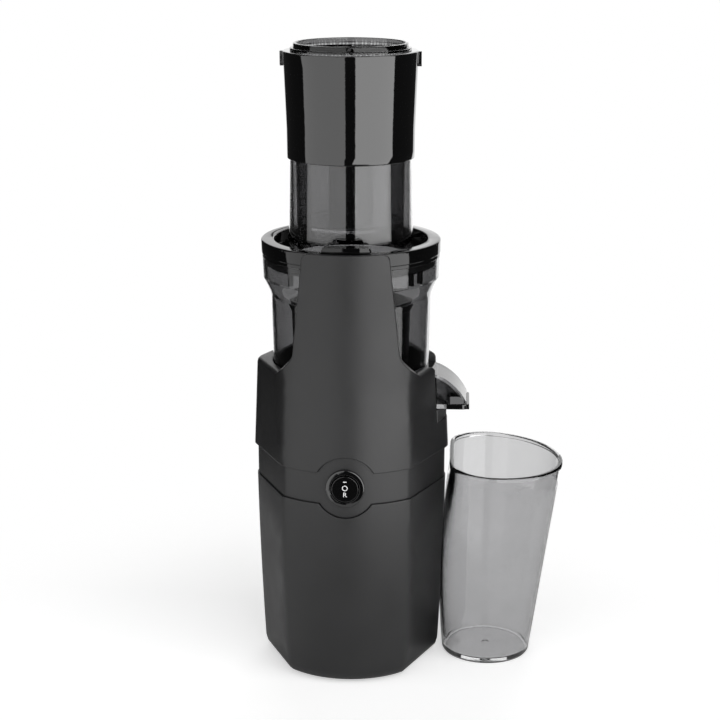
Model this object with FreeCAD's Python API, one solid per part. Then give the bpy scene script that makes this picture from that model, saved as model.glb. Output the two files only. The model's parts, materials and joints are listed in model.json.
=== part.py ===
import FreeCAD, Part
import math
import os
from FreeCAD import Vector

# A vertical cold press juicer with its juice cup beside it.
# Millimetres. The origin lies on the table under the middle of the motor base,
# +Z is up, the switch faces -Y and the juice spout points along +X.

# Heights of the base, from the table upwards
foot_stand = 1.5
lower_height = 132.5
band_height = 22.0
upper_height = 62.0
well_depth = 41.0
arm_height = 86.0

# Plan of the base: a front and a back arc, joined by flat facets at rounded side ridges
crease_angle = 40.0
ridge_round = 15.0
foot_crease_r = 63.7
foot_ridge_r = 62.3
hip_crease_r = 66.6
hip_ridge_r = 64.6
waist_crease_r = 68.3
waist_ridge_r = 66.4
band_crease_r = 67.0
band_ridge_r = 65.7
shoulder_crease_r = 68.7
shoulder_ridge_r = 68.0
chest_crease_r = 67.8
chest_ridge_r = 66.6
deck_crease_r = 66.5
deck_ridge_r = 65.4

# Shells of the base
housing_wall = 2.6
foot_round = 8.0
deck_round = 3.0
deck_thickness = 3.0
floor_thickness = 3.0
part_gap = 0.2
cover_thickness = 2.5
flange_thickness = 2.5
service_hole_r = 36.0
foot_ring_r = 50.0
foot_ring_width = 5.0
foot_ring_height = 3.0

# Arm in front of the bowl
arm_wall = 4.0
arm_top_half_width = 28.4
arm_waist_half_width = 35.8
arm_waist_rise = 14.0
arm_root_half_width = 50.0
arm_top_round = 5.0
arm_root_round = 14.0

# Well and the notches that the two spouts lie in
well_r = 54.5
notch_half_width = 18.0
notch_round = 4.0

# Switch at the front of the band
switch_disc_r = 21.5
bezel_r = 13.15
bezel_proud = 2.4
bezel_depth = 9.0
rocker_sphere_r = 9.5
rocker_half_thickness = 3.4
rocker_gap = 0.3
rocker_pin_r = 1.0
running_gap = 0.05
switch_body_r = 10.9
switch_body_depth = 12.0

# Motor
motor_r = 31.0
motor_length = 76.0
motor_can_wall = 1.6
motor_pad_height = 6.0
motor_pad_width = 6.0
magnet_thickness = 6.0
air_gap = 0.8
rotor_length = 44.0
motor_shaft_r = 3.0
commutator_r = 9.0
commutator_length = 12.0
bush_r = 7.0
bush_length = 6.0

# Gear train: three pairs of spur gears
pressure_angle = 20.0
pinion_teeth = 12
first_teeth = 36
second_teeth = 36
output_teeth = 42
first_module = 0.9
second_module = 1.0
output_module = 1.2
first_width = 7.0
second_width = 8.0
output_width = 10.0
gear_side_gap = 1.5
backlash = 0.16
layshaft_angle = 100.0
layshaft_r = 2.5
gearbox_wall = 2.5
gear_tip_gap = 1.2
output_shaft_r = 6.0
output_hub_r = 11.0
output_hub_height = 12.0
hex_half_flat = 5.6
hex_height = 23.0
post_r = 5.0
post_hole_r = 1.6
gearbox_post_circle_r = 44.0
tie_circle_r = 61.0
tie_boss_r = 4.5
tie_boss_length = 34.0
tie_screw_r = 2.0
screw_head_r = 3.4
screw_head_height = 2.4
cover_screw_circle_r = 40.5
cover_screw_r = 1.5
cover_screw_length = 16.0

# Mains lead inlet at the back
gland_height = 40.0
gland_bore_r = 3.6
gland_r = 6.0
gland_flange_r = 8.5
gland_flange = 2.0
gland_inner_length = 8.0
gland_tail = 6.0

# Juice bowl
bowl_wall = 2.8
bowl_foot_r = 53.0
bowl_step_r = 55.2
bowl_band_low_r = 60.2
bowl_rim_r = 60.8
bowl_foot_height = 4.0
bowl_floor = 4.0
bowl_step_height = 89.5
bowl_band_height = 100.5
bowl_height = 115.0
seal_bore_r = 14.0
auger_journal_r = 11.4
seal_height = 5.0
spout_half_width = 16.0
spout_wall = 2.5
spout_reach = 81.0
spout_rise = 10.0
spout_height = 24.5
spout_lip = 1.3
spout_lip_height = 2.2
pulp_half_width = 14.0

# Strainer and auger
strainer_foot_r = 38.6
strainer_rim_r = 41.0
strainer_wall = 1.6
strainer_height = 76.0
strainer_slots = 20
strainer_slot_width = 2.4
strainer_margin = 14.0
auger_gap = 0.7
auger_disc_height = 4.0
auger_core_foot_r = 26.0
auger_core_tip_r = 11.0
auger_height = 74.0
flight_turns = 1.5
flight_root_half = 2.4
flight_edge_half = 1.2
flight_starts = 2

# Lid with the feed tube
lid_r = 61.2
lid_height = 11.4
lid_ring_width = 8.8
lid_top_thickness = 3.0
lid_trough_depth = 8.0
lid_skirt_drop = 6.0
lid_skirt_wall = 2.4
lid_round = 1.4
lug_half_width = 17.0
lug_height = 4.4
lug_depth = 9.0
tube_bore_r = 39.2
tube_low_r = 42.4
tube_top_r = 41.2
tube_height = 132.9
collar_low_r = 43.1
collar_waist_r = 43.3
collar_top_r = 45.3
collar_height = 70.0
collar_waist_height = 20.0
collar_lip = 0.9
grip_proud = 1.8
grip_half_width = 3.0
grip_height = 10.0

# Pusher
pusher_foot_r = 36.7
pusher_top_r = 38.2
pusher_wall = 2.2
pusher_length = 117.0
pusher_flange_r = 40.6
pusher_flange = 2.0
pusher_lip = 3.1
pusher_web = 2.4
pusher_web_drop = 5.0
pusher_web_depth = 34.0

# Juice cup
cup_height = 148.0
cup_foot_r = 31.5
cup_rim_r = 51.0
cup_wall = 2.0
cup_floor = 3.5
cup_offset = 97.0
cup_side_shift = 5.6
cup_flat_distance = 25.8
cup_flat_turn = 18.0
cup_flat_round = 24.0
cup_bead = 0.9
cup_bead_height = 2.6

# Heights worked out from the sizes above
base_bottom = foot_stand
band_low = base_bottom + lower_height
band_high = band_low + band_height
deck = band_high + upper_height
well_floor = deck - well_depth
arm_top = deck + arm_height
cover_top = base_bottom + cover_thickness
flange_top = cover_top + flange_thickness
switch_z = (band_low + band_high) / 2 + 1.0
bowl_rim = well_floor + bowl_height
lid_top = bowl_rim + lid_height
tube_foot = lid_top - lid_trough_depth
tube_top = tube_foot + tube_height
pusher_seat = tube_top + collar_lip


def cylinder(radius, low, high, x=0.0, y=0.0):
    """An upright round bar between two heights."""
    return Part.makeCylinder(radius, high - low, Vector(x, y, low))


def ring(outer, inner, low, high, x=0.0, y=0.0):
    """An upright tube between two heights."""
    bore = cylinder(inner, low - 1, high + 1, x, y)
    return cylinder(outer, low, high, x, y).cut(bore)


def block(x0, x1, y0, y1, z0, z1):
    """A box between two corners."""
    return Part.makeBox(x1 - x0, y1 - y0, z1 - z0, Vector(x0, y0, z0))


def fused(shapes):
    """One solid from several that meet."""
    whole = shapes[0].fuse(shapes[1:])
    return whole.removeSplitter()


def rounded_wire(corners, place):
    """A closed outline through (u, v) or (u, v, radius) corners; place puts (u, v) in space."""
    count = len(corners)
    turns = []
    for i in range(count):
        here = Vector(corners[i][0], corners[i][1], 0)
        before = Vector(*corners[i - 1][:2], 0)
        after = Vector(*corners[(i + 1) % count][:2], 0)
        radius = corners[i][2] if len(corners[i]) > 2 else 0.0
        if radius == 0:
            turns.append((here, None, here))
            continue
        back = (before - here).normalize()
        ahead = (after - here).normalize()
        half = back.getAngle(ahead) / 2
        reach = radius / math.tan(half)
        centre = here + (back + ahead).normalize() * (radius / math.sin(half))
        middle = centre + (here - centre).normalize() * radius
        turns.append((here + back * reach, middle, here + ahead * reach))
    edges = []
    for i, (start, middle, stop) in enumerate(turns):
        if middle is not None:
            arc = Part.Arc(place(start.x, start.y), place(middle.x, middle.y), place(stop.x, stop.y))
            edges.append(arc.toShape())
        following = turns[(i + 1) % count][0]
        if (following - stop).Length > 1e-6:
            edges.append(Part.makeLine(place(stop.x, stop.y), place(following.x, following.y)))
    return Part.Wire(edges)


def revolved(corners):
    """A solid of revolution about the upright axis from (radius, height) corners."""
    wire = rounded_wire(corners, lambda u, v: Vector(u, 0, v))
    return Part.Face(wire).revolve(Vector(0, 0, 0), Vector(0, 0, 1), 360)


def extruded_xz(corners, y0, y1):
    """An outline of (x, z) corners carried from y0 to y1."""
    wire = rounded_wire(corners, lambda u, v: Vector(u, y0, v))
    return Part.Face(wire).extrude(Vector(0, y1 - y0, 0))


def extruded_yz(corners, x0, x1):
    """An outline of (y, z) corners carried from x0 to x1."""
    wire = rounded_wire(corners, lambda u, v: Vector(x0, u, v))
    return Part.Face(wire).extrude(Vector(x1 - x0, 0, 0))


def turned(shape, degrees):
    """A copy turned about the upright axis."""
    copy = shape.copy()
    copy.rotate(Vector(0, 0, 0), Vector(0, 0, 1), degrees)
    return copy


def on_circle(radius, degrees):
    """A point of a circle about the axis."""
    a = math.radians(degrees)
    return radius * math.cos(a), radius * math.sin(a)


def plan_wire(crease_r, ridge_r, z, inset=0.0):
    """The outline of the base at one height, drawn in by an even inset."""
    crease = crease_r - inset
    ridge = ridge_r - inset
    round_r = max(ridge_round - inset, ridge_round / 3)
    a = math.radians(crease_angle)
    cx = crease * math.sin(a)
    cy = crease * math.cos(a)
    tip = ridge
    for _ in range(6):
        lean = math.atan2(tip - cx, cy)
        tip = ridge + round_r * (1 / math.cos(lean) - 1)
    share = round_r * math.tan(lean) / math.hypot(tip - cx, cy)
    tx = tip + (cx - tip) * share
    ty = cy * share

    def at(x, y):
        return Vector(x, y, z)

    edges = [
        Part.Arc(at(-cx, -cy), at(0, -crease), at(cx, -cy)).toShape(),
        Part.makeLine(at(cx, -cy), at(tx, -ty)),
        Part.Arc(at(tx, -ty), at(ridge, 0), at(tx, ty)).toShape(),
        Part.makeLine(at(tx, ty), at(cx, cy)),
        Part.Arc(at(cx, cy), at(0, crease), at(-cx, cy)).toShape(),
        Part.makeLine(at(-cx, cy), at(-tx, ty)),
        Part.Arc(at(-tx, ty), at(-ridge, 0), at(-tx, -ty)).toShape(),
        Part.makeLine(at(-tx, -ty), at(-cx, -cy)),
    ]
    return Part.Wire(edges)


def plan_block(crease_r, ridge_r, low, high, inset=0.0):
    """An upright block with the outline of the base."""
    return Part.Face(plan_wire(crease_r, ridge_r, low, inset)).extrude(Vector(0, 0, high - low))


def tower(sections, inset=0.0):
    """A smooth body through (height, crease radius, ridge radius) sections."""
    wires = [plan_wire(crease, ridge, z, inset) for z, crease, ridge in sections]
    return Part.makeLoft(wires, True, False)


def rounded_end(crease_r, ridge_r, edge_z, radius, up):
    """The quarter round that ends a tower, from its full outline to its flat face."""
    wires = []
    for degrees in (0, 30, 60, 90):
        a = math.radians(degrees)
        z = edge_z - up * radius * (1 - math.sin(a))
        wires.append(plan_wire(crease_r, ridge_r, z, radius * (1 - math.cos(a))))
    return Part.makeLoft(wires, True, True)


def lower_sections(top):
    """The lower housing's outline from its rounded foot up to the band."""
    low = base_bottom + foot_round
    middle = low + (band_low - low) * 0.42
    return [
        (low, foot_crease_r, foot_ridge_r),
        (middle, hip_crease_r, hip_ridge_r),
        (top, waist_crease_r, waist_ridge_r),
    ]


def upper_sections():
    """The upper housing's outline from the band to the start of the deck's rounding."""
    return [
        (band_high, shoulder_crease_r, shoulder_ridge_r),
        ((band_high + deck) / 2, chest_crease_r, chest_ridge_r),
        (deck - deck_round, deck_crease_r, deck_ridge_r),
    ]


def switch_cutter(radius):
    """A round bar along Y through the front of the base at the switch."""
    start = Vector(0, -2 * shoulder_crease_r, switch_z)
    return Part.makeCylinder(radius, 1.6 * shoulder_crease_r, start, Vector(0, 1, 0))


def tie_points():
    """The four places near the creases where long screws tie the base together."""
    corner = 90 - crease_angle
    return [on_circle(tie_circle_r, a) for a in (corner, 180 - corner, 180 + corner, -corner)]


def cover_screw_points():
    """The four places of the base cover's screws."""
    return [on_circle(cover_screw_circle_r, a) for a in (0, 90, 180, 270)]


def gearbox_post_points():
    """The four places where the gearbox hangs from the upper housing."""
    return [on_circle(gearbox_post_circle_r, a) for a in (45, 135, 225, 315)]


def lower_housing():
    """The tall lower shell with its flange for the base cover and the bosses inside."""
    outer = fused([
        rounded_end(foot_crease_r, foot_ridge_r, base_bottom, foot_round, -1),
        tower(lower_sections(band_low)),
    ])
    low = flange_top
    cavity = tower(
        [
            (low, foot_crease_r, foot_ridge_r),
            ((low + band_low) / 2, hip_crease_r, hip_ridge_r),
            (band_low + 1, waist_crease_r, waist_ridge_r),
        ],
        housing_wall,
    )
    shell = outer.cut(cavity)
    recess = plan_block(foot_crease_r, foot_ridge_r, base_bottom - 1, cover_top, foot_round - part_gap)
    shell = shell.cut(recess).cut(cylinder(service_hole_r, base_bottom, flange_top + 1))
    for x, y in cover_screw_points():
        shell = shell.fuse(cylinder(post_r, flange_top - 1, flange_top + cover_screw_length, x, y))
    for x, y in tie_points():
        shell = shell.fuse(cylinder(tie_boss_r, band_low - tie_boss_length, band_low, x, y))
    for x, y in cover_screw_points():
        hole = cylinder(cover_screw_r + part_gap / 2, base_bottom, flange_top + cover_screw_length - 2, x, y)
        shell = shell.cut(hole)
    for x, y in tie_points():
        shell = shell.cut(cylinder(tie_screw_r + part_gap, band_low - tie_boss_length - 1, band_low + 1, x, y))
    shell = shell.cut(switch_cutter(switch_disc_r))
    inlet = Part.makeCylinder(gland_r + part_gap, 2 * housing_wall + 20,
                              Vector(0, foot_crease_r - 12, gland_height), Vector(0, 1, 0))
    return shell.cut(inlet).removeSplitter()


def switch_band():
    """The recessed ring between the two shells, widened to a disc round the switch."""
    reach = switch_disc_r - part_gap
    low = switch_z - reach - 1
    high = switch_z + reach + 1
    outer = plan_block(band_crease_r, band_ridge_r, low, high)
    inner = plan_block(band_crease_r, band_ridge_r, low - 1, high + 1, housing_wall)
    skin = outer.cut(inner)
    slab = block(-100, 100, -100, 100, band_low, band_high)
    disc = skin.common(switch_cutter(reach))
    band = skin.common(slab).fuse(disc)
    for x, y in tie_points():
        band = band.fuse(cylinder(tie_boss_r, band_low, band_high, x, y).common(
            plan_block(band_crease_r, band_ridge_r, band_low, band_high)))
    for x, y in tie_points():
        band = band.cut(cylinder(tie_screw_r + part_gap, band_low - 1, band_high + 1, x, y))
    return band.cut(switch_cutter(switch_body_r + part_gap)).removeSplitter()


def arm_blank():
    """The broad tongue that rises in front of the bowl."""
    outline = [
        (-arm_top_half_width, arm_top, arm_top_round),
        (arm_top_half_width, arm_top, arm_top_round),
        (arm_waist_half_width, deck + arm_waist_rise, arm_root_round),
        (arm_root_half_width, deck - deck_round, 0),
        (arm_root_half_width, deck - 2 * deck_thickness - deck_round, 0),
        (-arm_root_half_width, deck - 2 * deck_thickness - deck_round, 0),
        (-arm_root_half_width, deck - deck_round, 0),
        (-arm_waist_half_width, deck + arm_waist_rise, arm_root_round),
    ]
    tongue = extruded_xz(outline, -1.2 * deck_crease_r, -0.4 * deck_crease_r)
    envelope = plan_block(deck_crease_r, deck_ridge_r, deck - 4 * deck_round, arm_top + 1)
    inner_r = deck_crease_r - arm_wall
    return tongue.common(envelope).cut(cylinder(inner_r, deck, arm_top + 2))


def notch(turn):
    """The U-shaped cut through the well wall for one spout."""
    w = notch_half_width
    outline = [
        (-w, well_floor, notch_round),
        (w, well_floor, notch_round),
        (w, deck, notch_round),
        (w + 3 * notch_round, deck, 0),
        (w + 3 * notch_round, deck + 10, 0),
        (-w - 3 * notch_round, deck + 10, 0),
        (-w - 3 * notch_round, deck, 0),
        (-w, deck, notch_round),
    ]
    return turned(extruded_yz(outline, well_r * 0.8, shoulder_ridge_r + 5), turn)


def upper_housing():
    """The upper shell: side walls, deck, well for the bowl, spout notches and the arm."""
    outer = fused([
        tower(upper_sections()),
        rounded_end(deck_crease_r, deck_ridge_r, deck, deck_round, 1),
    ])
    outer = outer.fuse(arm_blank())
    ceiling = deck - deck_thickness
    cavity = tower(
        [
            (band_high - 1, shoulder_crease_r, shoulder_ridge_r),
            ((band_high + deck) / 2, chest_crease_r, chest_ridge_r),
            (ceiling, deck_crease_r, deck_ridge_r),
        ],
        housing_wall,
    )
    cavity = cavity.cut(cylinder(well_r + housing_wall, well_floor - floor_thickness, deck))
    side = notch_half_width + housing_wall
    trough = block(0, 2 * well_r, -side, side, well_floor - floor_thickness, deck)
    cavity = cavity.cut(trough).cut(turned(trough, 90))
    for x, y in gearbox_post_points():
        cavity = cavity.cut(cylinder(post_r, gearbox_top, deck, x, y))
    for x, y in tie_points():
        cavity = cavity.cut(cylinder(tie_boss_r, band_high - 2, deck, x, y))
    shell = outer.cut(cavity)
    for x, y in gearbox_post_points():
        shell = shell.fuse(cylinder(post_r, gearbox_top, well_floor - 1, x, y))
    shell = shell.cut(cylinder(well_r, well_floor, deck + 1))
    shell = shell.cut(notch(0)).cut(notch(90))
    shell = shell.cut(cylinder(seal_seat_r, well_floor - floor_thickness - 1, well_floor + 1))
    for x, y in gearbox_post_points():
        shell = shell.cut(cylinder(post_hole_r, gearbox_top - 1, gearbox_top + cover_screw_length, x, y))
    for x, y in tie_points():
        shell = shell.cut(cylinder(tie_screw_r + part_gap / 2, band_high - 1, band_high + tie_grip, x, y))
    shell = shell.cut(switch_cutter(switch_disc_r))
    return shell.removeSplitter()


def base_cover():
    """The plate that closes the base, with a groove for the foot ring."""
    plate = plan_block(foot_crease_r, foot_ridge_r, base_bottom, cover_top, foot_round)
    groove = ring(foot_ring_r + part_gap, foot_ring_r - foot_ring_width - part_gap,
                  base_bottom - 1, foot_ring_height)
    plate = plate.cut(groove)
    for x, y in cover_screw_points():
        plate = plate.cut(cylinder(cover_screw_r + part_gap, base_bottom - 1, cover_top + 1, x, y))
        head_r = cover_screw_r * screw_head_r / tie_screw_r + part_gap
        plate = plate.cut(cylinder(head_r, base_bottom - 1, base_bottom + cover_thickness / 2, x, y))
    for row in range(-2, 3):
        slot = block(-18, 18, row * 9 - 1.5, row * 9 + 1.5, base_bottom - 1, cover_top + 1)
        plate = plate.cut(slot)
    return plate


def foot_ring():
    """The rubber ring that the juicer stands on."""
    return ring(foot_ring_r, foot_ring_r - foot_ring_width, 0, foot_ring_height)


def screw(x, y, head_low, radius, length):
    """A pan head screw with its shank upwards."""
    head = cylinder(radius * screw_head_r / tie_screw_r, head_low, head_low + screw_head_height, x, y)
    shank = cylinder(radius, head_low + screw_head_height - 0.1, head_low + screw_head_height + length, x, y)
    return head.fuse(shank).removeSplitter()


# Sizes of the drive that follow from the ones above
motor_low = cover_top + motor_pad_height
motor_top = motor_low + motor_length
gear_floor = motor_top + gearbox_wall
first_z = gear_floor + gear_side_gap
second_z = first_z + first_width + gear_side_gap
output_z = second_z + second_width + gear_side_gap
gear_ceiling = output_z + output_width + gear_side_gap
gearbox_top = gear_ceiling + gearbox_wall
tie_grip = tie_boss_length / 2
first_centre = (pinion_teeth + first_teeth) * first_module / 2
second_centre = (pinion_teeth + second_teeth) * second_module / 2
output_centre = (pinion_teeth + output_teeth) * output_module / 2
seal_seat_r = output_shaft_r + 4.0


def layshafts():
    """The places of the two layshafts: each stage's gears mesh at its centre distance."""
    square = first_centre ** 2 + output_centre ** 2 - second_centre ** 2
    spread = math.degrees(math.acos(square / (2 * first_centre * output_centre)))
    first = on_circle(first_centre, layshaft_angle)
    second = on_circle(output_centre, layshaft_angle + spread)
    return first, second


def involute(base_r, radius):
    """The roll-off angle of an involute at a radius."""
    if radius <= base_r:
        return 0.0
    tangent = math.sqrt((radius / base_r) ** 2 - 1)
    return tangent - math.atan(tangent)


def gear(teeth, module, low, width, centre, tooth_at, bore, short_tip):
    """A spur gear with involute flanks; one tooth points at the given angle."""
    pitch_r = teeth * module / 2
    base_r = pitch_r * math.cos(math.radians(pressure_angle))
    tip_r = pitch_r + module * (0.7 if short_tip else 0.95)
    root_r = pitch_r - module * 1.2
    half = math.pi / (2 * teeth) - backlash / (2 * pitch_r) + involute(base_r, pitch_r)
    radii = [root_r, (max(root_r, base_r) + pitch_r) / 2, (pitch_r + tip_r) / 2, tip_r]
    points = []
    for tooth in range(teeth):
        middle = math.radians(tooth_at) + 2 * math.pi * tooth / teeth
        flank = [(r, half - involute(base_r, r)) for r in radii]
        for r, a in flank:
            points.append(Vector(centre[0] + r * math.cos(middle - a), centre[1] + r * math.sin(middle - a), low))
        for r, a in reversed(flank):
            points.append(Vector(centre[0] + r * math.cos(middle + a), centre[1] + r * math.sin(middle + a), low))
    points.append(points[0])
    blank = Part.Face(Part.makePolygon(points)).extrude(Vector(0, 0, width))
    if bore:
        blank = blank.cut(cylinder(bore, low - 1, low + width + 1, *centre))
    return blank


def towards(start, stop):
    """The direction from one point to another, in degrees."""
    return math.degrees(math.atan2(stop[1] - start[1], stop[0] - start[0]))


def drive_nodes():
    """Motor, gears, shafts and bearings."""
    nodes = {}
    origin = (0.0, 0.0)
    first, second = layshafts()
    half_tooth = 180.0
    shaft_top = first_z + first_width + 1
    inner_r = motor_r - motor_can_wall

    can = ring(motor_r, inner_r, motor_low, motor_top)
    can = can.fuse(ring(motor_r, bush_r, motor_low, motor_low + motor_can_wall))
    nodes["motor_can"] = can.removeSplitter()
    cap = ring(inner_r - part_gap, bush_r, motor_top - 2 * motor_can_wall, motor_top)
    nodes["motor_end_plate"] = cap
    magnets = []
    stack_low = motor_low + 12
    for side in (0, 180):
        arc = ring(inner_r - part_gap / 2, inner_r - magnet_thickness, stack_low - 2, stack_low + rotor_length + 2)
        keep = turned(block(-100, 100, 5, 100, motor_low, motor_top), side)
        magnets.append(arc.common(keep))
    nodes["field_magnets"] = Part.makeCompound(magnets)
    for name, low in (("lower_motor_bush", motor_low), ("upper_motor_bush", motor_top - bush_length)):
        nodes[name] = ring(bush_r - part_gap / 4, motor_shaft_r + running_gap, low, low + bush_length)
    rotor = [
        cylinder(motor_shaft_r, motor_low + 1, shaft_top),
        cylinder(inner_r - magnet_thickness - air_gap, stack_low, stack_low + rotor_length),
        cylinder(commutator_r, stack_low + rotor_length, stack_low + rotor_length + commutator_length),
    ]
    nodes["motor_rotor"] = fused(rotor)
    nodes["motor_pinion"] = gear(pinion_teeth, first_module, first_z, first_width, origin,
                                 towards(origin, first), motor_shaft_r, False)
    nodes["motor_pad"] = ring(motor_r, motor_r - motor_pad_width, cover_top, motor_low)

    wheel = gear(first_teeth, first_module, first_z, first_width, first,
                 towards(first, origin) + half_tooth / first_teeth, 0, True)
    pinion = gear(pinion_teeth, second_module, first_z + first_width, gear_side_gap + second_width, first,
                  towards(first, second), 0, False)
    nodes["first_layshaft_gear"] = wheel.fuse(pinion).removeSplitter().cut(
        cylinder(layshaft_r + running_gap, first_z - 1, gear_ceiling, *first))
    wheel = gear(second_teeth, second_module, second_z, second_width, second,
                 towards(second, first) + half_tooth / second_teeth, 0, True)
    pinion = gear(pinion_teeth, output_module, second_z + second_width, gear_side_gap + output_width, second,
                  towards(second, origin), 0, False)
    nodes["second_layshaft_gear"] = wheel.fuse(pinion).removeSplitter().cut(
        cylinder(layshaft_r + running_gap, second_z - 1, gear_ceiling, *second))
    nodes["output_gear"] = gear(output_teeth, output_module, output_z, output_width, origin,
                                towards(origin, second) + half_tooth / output_teeth, output_shaft_r, True)
    hex_low = well_floor + 1.0
    corners = [Vector(*on_circle(hex_half_flat / math.cos(math.pi / 6), 60 * k), hex_low - 0.5) for k in range(7)]
    hexagon = Part.Face(Part.makePolygon(corners)).extrude(Vector(0, 0, hex_height + 0.5))
    tip = revolved([(0, hex_low - 1), (hex_half_flat * 1.3, hex_low - 1),
                    (hex_half_flat * 1.3, hex_low + hex_height - 2), (hex_half_flat * 0.8, hex_low + hex_height),
                    (0, hex_low + hex_height)])
    nodes["output_shaft"] = cylinder(output_shaft_r, output_z - 1, hex_low).fuse(hexagon.common(tip)).removeSplitter()

    case_r = output_centre + (second_teeth / 2 + 1) * second_module + gear_tip_gap
    pins = [("first_layshaft_pin", first, output_z - gear_side_gap / 2),
            ("second_layshaft_pin", second, gearbox_top - gearbox_wall / 2)]
    for name, place, high in pins:
        nodes[name] = cylinder(layshaft_r, motor_top + gearbox_wall / 2, high, *place)
    case = ring(case_r + gearbox_wall, case_r, gear_floor, gear_ceiling)
    case = case.fuse(cylinder(case_r + gearbox_wall, motor_top, gear_floor))
    case = case.cut(cylinder(bush_r, motor_top - 1, gear_floor + 1))
    lid = cylinder(case_r + gearbox_wall, gear_ceiling, gearbox_top)
    lid = lid.fuse(cylinder(output_hub_r, gear_ceiling, gearbox_top + output_hub_height))
    lid = lid.cut(cylinder(output_shaft_r + 2.5, gear_ceiling - 1, gearbox_top + output_hub_height + 1))
    for name, place, high in pins:
        hole = cylinder(layshaft_r, motor_top + gearbox_wall / 2, high, *place)
        case = case.cut(hole)
        lid = lid.cut(hole)
    for x, y in gearbox_post_points():
        lid = lid.cut(cylinder(post_hole_r, gear_ceiling - 1, gearbox_top + 1, x, y))
    nodes["gearbox_case"] = case.removeSplitter()
    nodes["gearbox_cover"] = lid.removeSplitter()
    nodes["output_bush"] = ring(output_shaft_r + 2.5, output_shaft_r + running_gap, gear_ceiling,
                                gearbox_top + output_hub_height)
    nodes["shaft_seal"] = ring(seal_seat_r, output_shaft_r + running_gap, well_floor - floor_thickness, well_floor)
    return nodes


def fastener_nodes():
    """The screws that hold the base together, each kind as one group."""
    cover = [screw(x, y, base_bottom - screw_head_height + cover_thickness / 2, cover_screw_r, cover_screw_length)
             for x, y in cover_screw_points()]
    tie = [screw(x, y, band_low - tie_boss_length - screw_head_height, tie_screw_r,
                 tie_boss_length + band_height + tie_grip - 1) for x, y in tie_points()]
    return {"base_cover_screws": Part.makeCompound(cover), "housing_tie_screws": Part.makeCompound(tie)}


def along_y(radius, y0, y1, z, x=0.0):
    """A round bar that points to the front."""
    return Part.makeCylinder(radius, y1 - y0, Vector(x, y0, z), Vector(0, 1, 0))


def switch_nodes():
    """The round three-way rocker switch."""
    face_y = -band_crease_r
    front = face_y - bezel_proud
    pivot = front + rocker_half_thickness - 0.6
    bore_r = rocker_sphere_r + rocker_gap
    flange = along_y(bezel_r, front, face_y, switch_z)
    barrel = along_y(switch_body_r, face_y, face_y + bezel_depth, switch_z)
    pin_hole = Part.makeCylinder(rocker_pin_r + running_gap, 2 * switch_body_r,
                                 Vector(-switch_body_r, pivot, switch_z), Vector(1, 0, 0))
    bezel = flange.fuse(barrel).removeSplitter()
    rim = [e for e in bezel.Edges if abs(e.BoundBox.YMin - front) < 1e-3 and abs(e.BoundBox.YMax - front) < 1e-3]
    bezel = bezel.makeFillet(0.9, rim)
    bezel = bezel.cut(along_y(bore_r, front - 1, face_y + bezel_depth + 1, switch_z)).cut(pin_hole)
    ball = Part.makeSphere(rocker_sphere_r, Vector(0, pivot, switch_z))
    slab = block(-20, 20, pivot - rocker_half_thickness, pivot + rocker_half_thickness, switch_z - 20, switch_z + 20)
    pin = Part.makeCylinder(rocker_pin_r, 2 * switch_body_r - 1,
                            Vector(0.5 - switch_body_r, pivot, switch_z), Vector(1, 0, 0))
    rocker = ball.common(slab).fuse(pin).removeSplitter()
    back = face_y + bezel_depth
    body = along_y(switch_body_r, back, back + switch_body_depth, switch_z)
    for x in (-5, 0, 5):
        body = body.fuse(block(x - 0.4, x + 0.4, back + switch_body_depth - 1, back + switch_body_depth + 7,
                               switch_z - 2.4, switch_z + 2.4))
    return {"switch_bezel": bezel, "switch_rocker": rocker, "switch_body": body.removeSplitter()}


def cable_gland():
    """The sleeve where the mains lead would enter at the back."""
    wall_y = plan_back_y(gland_height)
    flange = along_y(gland_flange_r, wall_y, wall_y + gland_flange, gland_height)
    inner = along_y(gland_r, wall_y - gland_inner_length, wall_y, gland_height)
    tail = Part.makeCone(gland_r, gland_bore_r + 1.2, gland_tail, Vector(0, wall_y + gland_flange, gland_height),
                         Vector(0, 1, 0))
    sleeve = flange.fuse([inner, tail])
    return sleeve.cut(along_y(gland_bore_r, wall_y - 50, wall_y + 50, gland_height)).removeSplitter()


def plan_back_y(z):
    """How far back the lower housing reaches at a height, at most."""
    low = base_bottom + foot_round
    middle = low + (band_low - low) * 0.42
    share = (z - low) / (middle - low)
    return foot_crease_r + (hip_crease_r - foot_crease_r) * min(share * 1.35, 1.0)


def hood(half_width, wall, reach):
    """The outside and the inside of a spout that turns down at its end."""
    low = well_floor + spout_rise
    high = low + spout_height
    root = bowl_step_r - 4 * bowl_wall

    def side(inset, y, drop):
        a = Vector(root, y, low + inset - drop)
        b = Vector(root, y, high + 1 - inset)
        c = Vector(bowl_step_r + 3, y, high - inset)
        m = Vector(reach - 9 - inset * 0.7, y, low + spout_height * 0.66 - inset * 0.7)
        d = Vector(reach - inset, y, low + 3)
        e = Vector(reach - inset, y, low + inset - drop)
        edges = [Part.makeLine(a, b), Part.makeLine(b, c), Part.Arc(c, m, d).toShape(),
                 Part.makeLine(d, e), Part.makeLine(e, a)]
        return Part.Face(Part.Wire(edges))

    outside = side(0, -half_width, 0).extrude(Vector(0, 2 * half_width, 0))
    inside = side(wall, wall - half_width, 0).extrude(Vector(0, 2 * (half_width - wall), 0))
    mouth = block(deck_ridge_r + 2, reach - wall, wall - half_width, half_width - wall, low - 5, low + 6)
    lip = block(deck_ridge_r + 2 - wall, reach + spout_lip, -half_width - spout_lip / 2, half_width + spout_lip / 2,
                low, low + spout_lip_height)
    return outside.fuse(lip), inside.fuse(mouth)


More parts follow.
